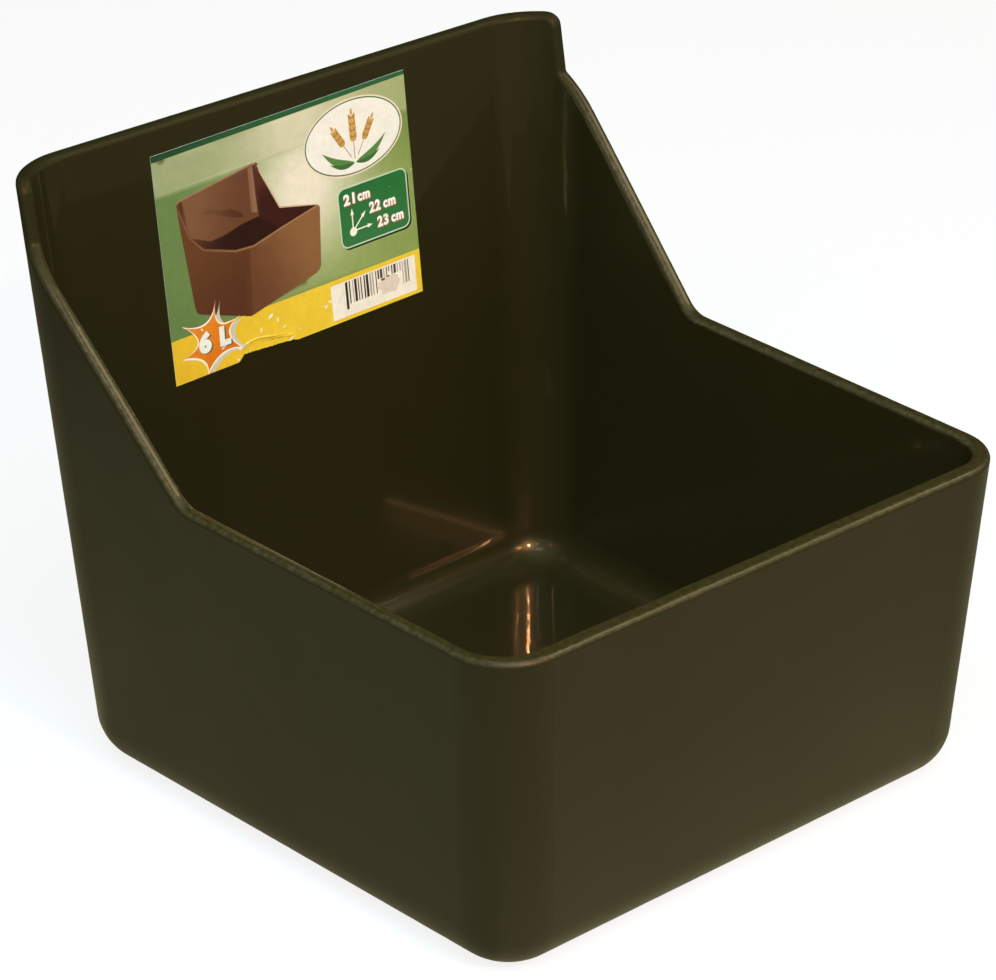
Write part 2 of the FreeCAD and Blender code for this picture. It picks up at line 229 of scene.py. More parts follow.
def text_loops(body, left, bottom, width, height, bold, turn=0.0):
    """Outlines of a text fitted to a box, turned in degrees about the box's lower left."""
    data = bpy.data.curves.new("glyphs", "FONT")
    data.body = body
    data.size = 1.0
    data.offset = bold
    data.resolution_u = 4
    data.space_character = 1.12
    ob = bpy.data.objects.new("glyphs", data)
    scene.collection.objects.link(ob)
    bpy.context.view_layer.update()
    depsgraph = bpy.context.evaluated_depsgraph_get()
    mesh = bpy.data.meshes.new_from_object(ob.evaluated_get(depsgraph))
    bm = bmesh.new()
    bm.from_mesh(mesh)
    bmesh.ops.remove_doubles(bm, verts=bm.verts, dist=1e-5)
    loops = rim_loops(bm)
    bm.free()
    bpy.data.objects.remove(ob)
    bpy.data.curves.remove(data)
    bpy.data.meshes.remove(mesh)
    xs = [x for loop in loops for x, _ in loop]
    ys = [y for loop in loops for _, y in loop]
    scale_x, scale_y = width / (max(xs) - min(xs)), height / (max(ys) - min(ys))
    return [[turned((x - min(xs)) * scale_x, (y - min(ys)) * scale_y, left, bottom,
                    math.radians(turn)) for x, y in loop] for loop in loops]


def arrow(tail, tip, shaft=0.5, head=2.3, wide=1.5):
    ahead = Vector((tip[0] - tail[0], tip[1] - tail[1])).normalized()
    side = Vector((-ahead.y, ahead.x))
    neck = Vector(tip) - ahead * head
    points = [Vector(tail) + side * shaft / 2, Vector(tail) - side * shaft / 2,
              neck - side * shaft / 2, neck - side * wide / 2, Vector(tip),
              neck + side * wide / 2, neck + side * shaft / 2]
    return [tuple(p) for p in points]


def kernel(x, y, length, width, turn):
    """Grain, narrower toward the end it points to."""
    points = []
    for t in angles(14):
        half = width / 2 * math.sin(t) * (1 - 0.25 * math.cos(t))
        points.append(turned(length / 2 * math.cos(t), half, x, y, turn))
    return points


def leaf(foot, tip, bow, width, steps=14):
    """Pointed leaf whose middle line bows to the left of the way from foot to tip."""
    reach = Vector((tip[0] - foot[0], tip[1] - foot[1]))
    side = Vector((-reach.y, reach.x)).normalized()
    middle = [Vector(foot) + reach * (i / steps) + side * bow * math.sin(math.pi * (i / steps))
              for i in range(steps + 1)]
    half = [width * math.sin(math.pi * (i / steps) ** 0.8) / 2 for i in range(steps + 1)]
    upper = [tuple(m + side * h) for m, h in zip(middle, half)]
    lower = [tuple(m - side * h) for m, h in zip(middle[1:-1], half[1:-1])]
    return upper + lower[::-1]


def stroke(points, width):
    """Line through the points, thinner toward both ends."""
    left, right = [], []
    for i, (x, y) in enumerate(points):
        before = points[max(i - 1, 0)]
        after = points[min(i + 1, len(points) - 1)]
        ahead = Vector((after[0] - before[0], after[1] - before[1])).normalized()
        half = width * (0.35 + 0.65 * math.sin(math.pi * (i + 0.5) / len(points))) / 2
        left.append((x - ahead.y * half, y + ahead.x * half))
        right.append((x + ahead.y * half, y - ahead.x * half))
    return left + right[::-1]


# ------------------------------------------------------------------ inks (display colours)
GREEN_LEFT, GREEN_RIGHT, GREEN_TOP_RIGHT = (104, 123, 67), (138, 150, 76), (120, 135, 64)
GREEN_SHADE = (94, 118, 62)
GLOW, BAND = (240, 218, 188), (214, 194, 156)
PAPER = (242, 228, 205)
BAND_FOOT, BAND_SHARE = 65.9, 0.46


def ground(x, y):
    """Green, with a pale glow around the middle and a lighter band along the top."""
    right = lerp(GREEN_RIGHT, GREEN_TOP_RIGHT, smooth((y - 38) / 26))
    base = lerp(GREEN_LEFT, right, smooth((x - 8) / 80))
    shade = 0.5 * smooth((y - 12) / 10) * smooth((30 - y) / 12) * smooth((20 - x) / 20)
    base = lerp(base, GREEN_SHADE, shade)
    glow = math.exp(-(((x - 60) / 24.5) ** 2 + ((y - 52) / 26.0) ** 2))
    base = lerp(base, GLOW, clamp01(glow * 1.05))
    if y > BAND_FOOT:
        base = lerp(base, BAND, BAND_SHARE)
    return base


def band_colour(x, y):
    # sampled just under the band, so that its tint is applied once
    return lerp(ground(x, min(y, 65.8)), BAND, BAND_SHARE)


def across(colour0, colour1, point0, point1):
    """Even change of colour from point0 to point1."""
    step = (point1[0] - point0[0], point1[1] - point0[1])
    square = step[0] ** 2 + step[1] ** 2

    def colour(x, y):
        t = ((x - point0[0]) * step[0] + (y - point0[1]) * step[1]) / square
        return lerp(colour0, colour1, smooth(t))
    return colour


# ------------------------------------------------------------------ artwork
class Artwork:
    """Layers (loops, colour function, bare paper 0..1), lowest first."""

    def __init__(self):
        self.layers = []

    def add(self, colour, *loops, bare=0.0):
        function = colour if callable(colour) else lambda x, y: colour
        self.layers.append((loops, function, bare))


def add_bands(art):
    art.add(band_colour, [(-5, BAND_FOOT), (120, 66.3), (120, 90), (-5, 90)])
    art.add(across((30, 62, 34), (42, 92, 52), (0, 78), (70, 78)),
            [(-5, 77.2), (120, 77.9), (120, 90), (-5, 90)])
    art.add(across((232, 178, 42), (241, 193, 52), (0, 8), (60, 8)),
            [(-5, -5), (120, -5), (120, 15.6), (-5, 15.5)])


# (colour, outline) of each part of the pictured trough, lowest first
TROUGH_PICTURE = [
    # silhouette
    (across((102, 60, 34), (88, 48, 28), (9, 45), (24, 16)),
     [(7.9, 60.6), (8.3, 61.3), (9.2, 61.9), (39.2, 65.7), (41.2, 65.6), (42.1, 65.0),
      (42.1, 62.3), (49.1, 47.4), (64.4, 43.9), (65.3, 43.6), (65.7, 42.6), (64.7, 31.8),
      (63.9, 22.9), (63.2, 21.5), (61.8, 20.6), (34.4, 14.4), (33.1, 14.2), (31.4, 14.7),
      (13.2, 21.1), (11.6, 22.0), (11.0, 23.6), (8.4, 52.1)]),
    # lower right face
    (across((106, 62, 38), (140, 92, 54), (33, 26), (60, 36)),
     [(33.8, 37.3), (37.2, 37.6), (48.8, 40.3), (65.0, 43.7), (65.3, 43.6), (65.7, 42.6),
      (64.7, 31.8), (63.9, 22.9), (63.2, 21.5), (61.8, 20.6), (34.4, 14.4), (32.6, 14.3)]),
    # upright strip at the left of that face
    (across((92, 51, 31), (97, 55, 34), (32, 30), (35, 30)),
     [(32.6, 37.4), (35.4, 37.4), (33.8, 14.3), (31.2, 14.8)]),
    # opening
    (across((126, 82, 54), (104, 62, 39), (12, 57), (34, 50)),
     [(9.1, 61.2), (39.2, 65.0), (40.0, 61.5), (42.1, 62.3), (49.1, 47.4), (64.2, 43.9),
      (48.8, 40.6), (37.0, 38.0), (29.5, 38.5), (16.8, 42.8), (11.9, 48.0), (8.9, 55.9)]),
    # dark lower part of the opening
    (across((92, 52, 34), (46, 22, 17), (13, 50), (27, 41)),
     [(11.9, 48.0), (16.8, 42.8), (29.5, 38.5), (37.0, 38.0), (48.8, 40.6), (64.2, 43.9),
      (49.1, 47.6), (40.2, 47.2), (33.0, 46.6), (26.0, 45.0), (20.0, 44.6), (15.0, 46.8)]),
    # dark right part of the opening
    (across((86, 44, 32), (60, 26, 21), (40, 60), (44, 52)),
     [(40.1, 64.6), (42.1, 62.3), (49.1, 47.4), (64.2, 43.9), (48.8, 40.6), (40.5, 46.8),
      (39.9, 52.0)]),
    # light upright strip and the thin dark one to its right
    (across((128, 84, 57), (146, 100, 72), (37.4, 56), (39.4, 56)),
     [(37.7, 64.6), (39.7, 64.9), (40.0, 48.6), (37.4, 49.4)]),
    ((84, 46, 34), [(39.7, 64.9), (40.5, 64.8), (40.7, 48.0), (40.0, 48.6)]),
    # sloping streak inside the opening
    (across((112, 70, 46), (82, 45, 30), (18, 55), (34, 49)),
     [(17.5, 54.6), (21.0, 55.6), (25.0, 53.6), (29.0, 53.4), (33.5, 50.6), (34.5, 48.6),
      (30.0, 49.8), (25.5, 51.8), (21.0, 53.8)]),
    # strip down the left of the opening
    (across((78, 42, 27), (112, 70, 44), (9.4, 56), (11.4, 56)),
     [(9.1, 61.2), (10.4, 61.4), (11.3, 52.5), (12.9, 47.0), (11.9, 48.0), (8.9, 55.9)]),
    # rim: upper, lower and right lengths
    ((152, 108, 76),
     [(7.9, 60.6), (8.3, 61.3), (9.2, 61.9), (39.2, 65.7), (41.2, 65.6), (40.8, 65.0),
      (39.2, 65.1), (9.3, 61.3)]),
    (across((124, 80, 52), (168, 118, 76), (12, 46), (60, 42)),
     [(8.2, 58.6), (11.4, 48.2), (16.5, 42.2), (29.5, 37.8), (37.0, 37.4), (48.8, 40.1),
      (64.9, 43.4), (64.9, 43.9), (48.7, 40.7), (37.0, 38.1), (29.6, 38.6), (16.9, 42.9),
      (12.0, 48.2), (8.7, 58.8)]),
    ((212, 168, 130),
     [(41.6, 64.2), (42.1, 65.0), (42.1, 62.3), (49.2, 47.4), (64.4, 43.9), (64.6, 44.2),
      (49.4, 47.9), (42.5, 62.6)]),
]

BURST_CENTRE = (16.4, 11.2)
BURST_TIPS = [(19.2, 24.6), (28.8, 16.1), (28.8, 4.4), (13.2, -0.2), (3.5, 7.9), (4.7, 19.4)]
BURST_VALLEYS = [(19.9, 16.4), (23.9, 11.6), (20.3, 5.0), (11.1, 5.1), (10.3, 12.1), (14.3, 17.8)]


def add_burst(art):
    """Six-pointed orange burst that reads 6 L, with shadows to the lower right."""
    star = burst_outline(BURST_TIPS, BURST_VALLEYS)
    inner = burst_outline(shrunk(BURST_TIPS, BURST_CENTRE, 0.895),
                          shrunk(BURST_VALLEYS, BURST_CENTRE, 0.91))
    art.add((205, 190, 164), *moved([star], 1.8, -0.75))
    art.add((250, 226, 196), star)
    art.add(across((232, 132, 36), (222, 112, 22), (10, 19), (20, 4)), inner)
    glyphs = (text_loops("6", 10.5, 7.6, width=5.2, height=7.7, bold=0.07, turn=-4.0),
              text_loops("L", 19.2, 7.7, width=4.6, height=7.0, bold=0.08, turn=-2.0))
    for loops in glyphs:
        art.add((98, 100, 74), *moved(loops, 0.6, -0.45))
    for loops in glyphs:
        art.add((240, 228, 208), *loops)


# widths of the bars and, in every second place, of the gaps between them
BAR_WIDTHS = [
    0.9, 0.5, 0.45, 0.9, 0.35, 0.35, 0.9, 0.45, 0.35, 0.6, 0.4, 0.9, 0.5, 0.35, 0.9, 0.45, 0.6,
    0.35, 0.45, 0.9, 0.35, 0.45, 0.6, 0.35, 0.9, 0.35, 0.45, 0.6, 0.4, 0.5, 0.35, 0.8, 0.45, 0.4,
    0.9, 0.35, 0.45, 0.5, 0.6, 0.4, 0.35, 0.5, 0.8, 0.4, 0.35, 0.6, 0.45, 0.5, 0.35, 0.4, 0.7,
    0.4, 0.5]
BARS_LEFT, BARS_RIGHT = 73.0, 100.9
RUBBED_LEFT, RUBBED_RIGHT = 86.4, 97.5


def add_bars(art):
    """Worn bar block without figures, rubbed through in the lower right."""
    art.add((246, 226, 200), [(66.8, 1.35), (103.7, 1.3), (103.8, 14.1), (66.8, 13.8)])
    worn = random.Random(11)
    x = BARS_LEFT
    for k, width in enumerate(BAR_WIDTHS):
        if x > BARS_RIGHT:
            break
        if k % 2 == 0:
            foot = 3.7 if k in (0, 30) else 5.4
            tone = (44, 38, 34) if worn.random() < 0.62 else (176, 152, 132)
            if RUBBED_LEFT < x < RUBBED_RIGHT:
                tone = (70, 58, 50) if worn.random() < 0.55 else (190, 168, 148)
                foot = 11.6 if worn.random() < 0.3 else 10.2
            width *= 1.15
            art.add(tone, [(x, foot), (x + width, foot + 0.03), (x + width, 13.5), (x, 13.45)])
        x += width + 0.04
    patch = []
    for t in angles(26):
        swell = 1.0 + 0.16 * worn.uniform(-1, 1)
        patch.append((92.1 + 4.9 * swell * math.cos(t), 7.1 + 3.2 * swell * math.sin(t)))
    art.add((228, 200, 176), patch, bare=0.6)
    # smudges: centre x, y, half width, half height
    for x, y, half_width, half_height in ((89.4, 9.6, 1.1, 0.5), (91.5, 10.1, 0.8, 0.35)):
        art.add((104, 78, 58), [(x + half_width * math.cos(t) * worn.uniform(0.7, 1.2),
                                 y + half_height * math.sin(t) * worn.uniform(0.7, 1.3))
                                for t in angles(9)])


def add_ear(art, x, y, lean, pairs, size, light, dark):
    """Ear of grain: stalk, pairs of kernels and one at the tip, leaning in radians from up."""
    axis = Vector((math.sin(lean), math.cos(lean)))
    side = Vector((axis.y, -axis.x))
    start = Vector((x, y))
    foot = start - axis * size * 3.4
    top = start + axis * size * pairs * 0.5
    art.add(dark, [tuple(foot + side * 0.16), tuple(top + side * 0.12),
                   tuple(top - side * 0.12), tuple(foot - side * 0.16)])
    heading = math.atan2(axis.y, axis.x)
    for i in range(pairs):
        base = start + axis * size * 0.52 * i
        for hand in (-1, 1):
            place = base + side * hand * size * 0.40
            art.add(light if (i + hand) % 2 else dark,
                    kernel(place.x, place.y, size * 1.05, size * 0.5, heading - hand * 0.5))
    place = start + axis * size * 0.56 * pairs
    art.add(light, kernel(place.x, place.y, size * 1.15, size * 0.5, heading))


def add_badge(art):
    """Oval badge with three ears over four leaves."""
    for colour, half_width, half_height in (((238, 208, 180), 21.3, 13.4),
                                            ((74, 112, 58), 20.7, 12.85),
                                            ((243, 226, 206), 20.2, 12.4)):
        art.add(colour, ellipse(82.4, 62.7, half_width, half_height, 90))
    upper_green, lower_green = (88, 128, 62), (62, 102, 52)
    for colour, foot, tip, bow, width in (
            (upper_green, (82.2, 53.6), (68.6, 60.4), 1.6, 2.5),
            (upper_green, (82.6, 53.6), (96.2, 60.4), -1.6, 2.5),
            (lower_green, (82.0, 53.4), (71.5, 55.6), 1.1, 1.7),
            (lower_green, (82.8, 53.4), (93.3, 55.6), -1.1, 1.7)):
        art.add(colour, leaf(foot, tip, bow, width))
    for x, lean in ((77.6, -0.55), (87.2, 0.55)):
        add_ear(art, x, 61.3, lean, pairs=7, size=1.9, light=(206, 148, 62), dark=(176, 116, 44))
    add_ear(art, 82.4, 62.0, 0.0, pairs=8, size=2.1, light=(214, 158, 70), dark=(182, 122, 46))


def add_size_panel(art):
    """Three arrows from one corner, with their sizes in centimetres."""
    art.add((30, 38, 24), rounded_rect(74.0, 24.1, 104.0, 45.3, 2.9))
    art.add((196, 208, 170), rounded_rect(73.3, 24.8, 103.4, 46.1, 2.9))
    art.add(across((42, 106, 50), (54, 112, 58), (86, 44), (86, 26)),
            rounded_rect(73.8, 25.3, 102.9, 45.6, 2.5))
    for figure, x, y in (("21", 75.7, 39.7), ("22", 86.3, 34.2), ("23", 89.2, 28.2)):
        loops = (text_loops(figure, x, y, width=4.9, height=4.0, bold=0.05)
                 + text_loops("cm", x + 6.1, y, width=5.4, height=2.75, bold=0.05))
        art.add((196, 74, 50), *moved(loops, 0.32, -0.3))
        art.add((246, 236, 218), *loops)
    for tip in ((78.9, 38.2), (84.7, 35.9), (87.3, 30.3)):
        art.add((244, 234, 204), arrow((78.8, 30.2), tip))
    art.add((246, 236, 208), ellipse(78.8, 30.0, 1.55, 1.55, 22))


# rubbed spots: centre x, y, half length, half width
CHIPS = [
    (40.8, 11.6, 1.3, 0.5), (43.7, 9.6, 0.45, 1.1), (46.2, 6.5, 0.9, 0.4), (36.4, 8.0, 0.4, 1.1),
    (30.4, 5.3, 1.1, 0.35), (48.3, 1.2, 1.5, 0.4), (64.2, 7.6, 0.7, 0.7), (67.0, 8.4, 2.3, 0.5),
    (20.5, 7.1, 1.2, 0.3), (27.2, 4.6, 1.0, 0.5), (12.6, 15.9, 0.5, 0.4), (62.8, 8.3, 0.3, 0.3),
    (34.2, 12.2, 0.2, 0.2), (44.9, 12.3, 0.18, 0.2), (52.3, 3.4, 0.5, 0.18),
    (13.8, 12.4, 0.25, 0.7), (95.6, 41.0, 0.18, 0.12), (105.6, 44.3, 0.35, 0.3),
    (26.0, 0.9, 0.6, 0.5)]
# thin lines: painted shade and a painted highlight along the crease, and one scratch: width,
# colour, points
CREASE_LIGHT_AND_SCRATCHES = [
    (0.32, (196, 140, 34), [(28.4, 4.4), (30.2, 5.1), (32.5, 5.5), (35.2, 5.6), (38.0, 5.0),
                            (41.0, 4.4), (44.3, 3.9), (47.6, 3.3)]),
    (0.25, (250, 214, 110), [(29.0, 5.3), (31.5, 5.95), (34.5, 6.1), (37.6, 5.6), (40.5, 5.0)]),
    (0.22, (206, 152, 40), [(38.0, 4.3), (41.5, 3.6), (45.0, 3.2), (48.5, 2.4)]),
    (0.22, (222, 200, 172), [(69.5, 7.0), (70.9, 8.6), (72.2, 10.3)])]


def add_wear_and_crease_light(art):
    chip = random.Random(5)
    for x, y, half_length, half_width in CHIPS:
        turn = chip.uniform(-0.5, 0.9)
        points = []
        for t in angles(11):
            swell = chip.uniform(0.62, 1.15)
            points.append(turned(half_length * swell * math.cos(t),
                                 half_width * swell * math.sin(t), x, y, turn))
        art.add((244, 220, 186), points, bare=0.8)
    # the first three lines are painted shade and a painted highlight beside the fold; the last is a
    # scratch
    for width, colour, points in CREASE_LIGHT_AND_SCRATCHES:
        art.add(colour, stroke(points, width))


def artwork():
    art = Artwork()
    add_bands(art)
    for colour, outline in TROUGH_PICTURE:
        art.add(colour, outline)
    add_burst(art)
    add_bars(art)
    add_badge(art)
    add_size_panel(art)
    add_wear_and_crease_light(art)
    return art.layers


# ------------------------------------------------------------------ sheet mesh
GRID = 2.1                                  # spacing of the filling points, mm
FINE_GRID = 0.45                            # the same around the crease
FINE_LEFT, FINE_BOTTOM, FINE_WIDTH, FINE_HEIGHT = 27.0, 1.9, 24, 5.5
SINK, THICKNESS, BACK_RISE = 0.07, 0.17, 0.7    # mm, mm, share of the relief on the back
CREASE = [(28.4, 4.4), (31.5, 5.4), (35.2, 5.6), (41.0, 4.4), (48.4, 2.6)]


def inside(loops, points):
    """Even-odd test of many points against the loops."""
    hit = np.zeros(len(points), bool)
    x, y = points[:, 0], points[:, 1]
    for loop in loops:
        starts = np.array(loop, float)
        for (x0, y0), (x1, y1) in zip(starts, np.roll(starts, -1, axis=0)):
            if y0 == y1:
                continue
            spans = (y0 > y) != (y1 > y)
            if spans.any():
                hit ^= spans & (x < (x1 - x0) * (y - y0) / (y1 - y0) + x0)
    return hit


def sheet_frame(node):
    """Lower left corner of the front face, its right, up and outward directions, outline in mm."""
    places = np.array([v.co[:] for v in node.data.vertices], float)

    def corner(sign_x, sign_z):
        score = sign_x * places[:, 0] + sign_z * places[:, 2]
        best = places[score > score.max() - 0.0003]
        return Vector(best[best[:, 1].argmin()])

    origin = corner(-1, -1)
    right = (corner(1, -1) - origin).normalized()
    up = corner(-1, 1) - origin
    up = (up - right * up.dot(right)).normalized()
    outward = right.cross(up)
    offsets = places - np.array(origin)
    flat = np.column_stack([offsets @ np.array(axis) for axis in (right, up, outward)]) / MM
    kept = []
    for point in flat[flat[:, 2] > -0.1][:, :2]:
        if all(abs(point - other).max() > 0.01 for other in kept):
            kept.append(point)
    kept = np.array(kept)
    middle = np.array([50.0, 30.0])
    order = np.argsort(np.arctan2(kept[:, 1] - middle[1], kept[:, 0] - middle[0]))
    return origin, right, up, outward, [tuple(float(t) for t in p) for p in kept[order]]


def ragged_edge(outline):
    """Outline cut into short steps, uneven along the torn part of the lower edge."""
    ragged = random.Random(3)
    edge = []
    for i, start in enumerate(outline):
        end = outline[(i + 1) % len(outline)]
        step = Vector((end[0] - start[0], end[1] - start[1]))
        torn = start[1] < 5 and end[1] < 5 and (start[1] > 0.2 or end[1] > 0.2)
        count = max(1, int(step.length / (0.55 if torn else 2.4)))
        for k in range(count):
            shift = ragged.uniform(-0.13, 0.16) if torn and 0 < k else 0.0
            edge.append((start[0] + step.x * k / count, start[1] + step.y * k / count + shift))
    return edge


def triangulate(outline, edge, layers):
    """Points, triangles inside the edge, and the topmost layer of each (-1 is the ground)."""
    verts, edges = [], []

    def put_loop(loop):
        first = len(verts)
        verts.extend(Vector((round(x, 4), round(y, 4))) for x, y in loop)
        edges.extend((first + i, first + (i + 1) % len(loop)) for i in range(len(loop)))

    put_loop(edge)
    for loops, _, _ in layers:
        for loop in loops:
            # kept near the sheet
            put_loop([(min(max(x, -6.0), 114.0), min(max(y, -6.0), 88.0)) for x, y in loop])
    width = max(p[0] for p in outline)
    height = max(p[1] for p in outline)
    rows, columns = int(height / GRID), int(width / GRID)
    for i in range(1, columns):
        for j in range(1, rows):
            verts.append(Vector((width * (i + 0.5 * (j % 2) * 0.9) / columns, height * j / rows)))
    for i in range(int(FINE_WIDTH / FINE_GRID)):
        for j in range(int(FINE_HEIGHT / FINE_GRID)):
            verts.append(Vector((FINE_LEFT + i * FINE_GRID + 0.2 * (j % 2),
                                 FINE_BOTTOM + j * FINE_GRID)))
    points, _, faces, _, _, _ = geometry.delaunay_2d_cdt(verts, edges, [], 0, 1e-4)
    points = np.array([p[:] for p in points], float)
    triangles = np.array([f for f in faces if len(f) == 3], int)
    centres = points[triangles].mean(axis=1)
    first, second, third = (points[triangles[:, k]] for k in range(3))
    areas = 0.5 * np.abs(np.cross(second - first, third - first))
    kept = inside([edge], centres) & (areas > 1e-7)
    triangles, centres = triangles[kept], centres[kept]
    top_layer = np.full(len(triangles), -1)
    for k, (loops, _, _) in enumerate(layers):
        corners = np.array([p for loop in loops for p in loop])
        near = np.all((centres >= corners.min(0) - 0.01) & (centres <= corners.max(0) + 0.01),
                      axis=1)
        if near.any():
            chosen = np.where(near)[0]
            top_layer[chosen[inside(loops, centres[chosen])]] = k
    return points, triangles, top_layer


def rise(x, y):
    """Relief of the sheet in mm: crease, lifted strip under it, slow waves, lifted right edge."""
    nearest = 1e9
    for start, end in zip(CREASE, CREASE[1:]):
        dx, dy = end[0] - start[0], end[1] - start[1]
        t = clamp01(((x - start[0]) * dx + (y - start[1]) * dy) / (dx ** 2 + dy ** 2))
        nearest = min(nearest, math.hypot(x - start[0] - dx * t, y - start[1] - dy * t))
    height = 0.16 * math.exp(-(nearest / 0.5) ** 2)
    strip = smooth((54 - x) / 3) * smooth((x - 25) / 3) * smooth((5.4 - y) / 4.0)
    height += 0.10 * strip * (0.6 + 0.4 * math.sin(x * 1.7))
    height += 0.020 * math.sin(x * 0.16 + 0.7) * math.sin(y * 0.21 + 0.4)
    height += 0.05 * math.exp(-(((x - 106) / 5) ** 2 + ((y - 45) / 7) ** 2))
    return height


def build_sheet(node):
    origin, right, up, outward, outline = sheet_frame(node)
    layers = artwork()
    points, triangles, top_layer = triangulate(outline, ragged_edge(outline), layers)
    used, corners = np.unique(triangles, return_inverse=True)
    flat = points[used].tolist()
    count = len(flat)

    front, back = [], []
    for x, y in flat:
        place = origin + right * (x * MM) + up * (y * MM)
        height = rise(x, y)
        front.append(place + outward * ((height - SINK) * MM))
        back.append(place + outward * ((BACK_RISE * height - SINK - THICKNESS) * MM))

    faces, tones, bare = [], [], []
    for (a, b, c), k in zip(corners.reshape(-1, 3).tolist(), top_layer):
        doubled_area = ((flat[b][0] - flat[a][0]) * (flat[c][1] - flat[a][1])
                        - (flat[c][0] - flat[a][0]) * (flat[b][1] - flat[a][1]))
        if doubled_area < 0:
            b, c = c, b
        faces.append((a, b, c))
        colour = ground if k < 0 else layers[k][1]
        tones += [colour(*flat[corner]) for corner in (a, b, c)]
        bare.append(0.0 if k < 0 else layers[k][2])
    front_count = len(faces)
    # directed edges in face order; those without a twin form the rim
    directed = dict.fromkeys(e for a, b, c in faces for e in ((a, b), (b, c), (c, a)))
    rim = [(a, b) for a, b in directed if (b, a) not in directed]
    faces += [(a + count, c + count, b + count) for a, b, c in faces]
    faces += [(b, a, a + count, b + count) for a, b in rim]
    tones += [PAPER] * (3 * front_count + 4 * len(rim))
    bare += [1.0] * (len(faces) - front_count)

    mesh = bpy.data.meshes.new("printed_sheet")
    mesh.from_pydata([tuple(p) for p in front + back], [], faces)
    mesh.update()
    ink = mesh.attributes.new("ink", "FLOAT_COLOR", "CORNER")
    wear = mesh.attributes.new("bare", "FLOAT", "FACE")
    channels = [value for tone in tones for value in linear(tone) + [1.0]]
    ink.data.foreach_set("color", np.array(channels, np.float32))
    wear.data.foreach_set("value", np.array(bare, np.float32))
    mesh.polygons.foreach_set("use_smooth", np.arange(len(faces)) < front_count)
    rim_edges = set(tuple(sorted(e)) for e in rim)
    flags = [tuple(sorted(e.vertices)) in rim_edges for e in mesh.edges]
    sharp = (mesh.attributes.get("sharp_edge")
             or mesh.attributes.new("sharp_edge", "BOOLEAN", "EDGE"))
    sharp.data.foreach_set("value", np.array(flags, bool))
    mesh.validate()
    ob = bpy.data.objects.new("printed_sheet", mesh)
    scene.collection.objects.link(ob)
    return ob


INK_GAIN = (1.04, 1.10, 1.20)   # per channel, on the ink colours


def paper_material():
    """Printed paper; bare paper is rougher and shows more fibre."""
    material = bpy.data.materials.new("printed_paper")
    net = Graph(material)
    ink = net.source("ShaderNodeAttribute", "Color", attribute_name="ink")
    bare = net.source("ShaderNodeAttribute", "Fac", attribute_name="bare")
    pos = net.source("ShaderNodeTexCoord", "Object")
    mottle = net.grain(pos, scale=260.0, detail=3.0, rough=0.6, low=0.955, high=1.03)
    speck = net.ramp(net.noise(pos, scale=2600.0, detail=2.0, rough=0.6),
                     start=0.35, end=0.65, low=0.965, high=1.02)
    gained = net.vector("MULTIPLY", a=ink, b=INK_GAIN)
    colour = net.vector("SCALE", a=gained, scale=net.multiply(mottle, speck))
    rough = net.add(net.grain(pos, scale=420.0, low=0.36, high=0.46),
                    net.multiply(bare, 0.35), clamp=True)
    fibre = net.noise(pos, scale=1500.0, detail=3.0, rough=0.65)
    wave = net.noise(pos, scale=60.0)
    height = net.add(net.multiply(fibre, net.add(net.multiply(bare, 0.9), 0.25)),
                     net.multiply(wave, 2.0))
    shader = net.node("ShaderNodeBsdfPrincipled", {
        "Base Color": colour, "Roughness": rough, "Specular IOR Level": 0.35,
        "Normal": net.bump(height, strength=0.25, distance=0.00006)})
    net.node("ShaderNodeOutputMaterial", {0: shader.outputs[0]})
    return material


sheet = build_sheet(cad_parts["product_label"])
sheet.data.materials.append(paper_material())
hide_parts("product_label")
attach(sheet, "root")


# ------------------------------------------------------------------ moulded plastic
OLIVE, OLIVE_CLOUD = (0.0170, 0.0139, 0.0034), (0.0190, 0.0157, 0.0041)
OLIVE_STREAK, OLIVE_SPECK = (0.0150, 0.0124, 0.0030), (0.0240, 0.0200, 0.0068)
SCRATCH_TONE = (0.09, 0.08, 0.05)
# rim tones: the slope tone is rubbed wear and also a painted highlight on the rim's sloping and
# rounded parts; the flat tone is rubbed wear on the rim's top
SLOPE_WEAR_AND_HIGHLIGHT, WORN_FLAT = (0.074, 0.058, 0.027), (0.050, 0.034, 0.008)
ROUGH_OUT, ROUGH_IN = 0.40, 0.34
COAT_OUT, COAT_IN = 0.10, 0.7
COAT_ROUGH_OUT, COAT_ROUGH_IN = 0.30, 0.055


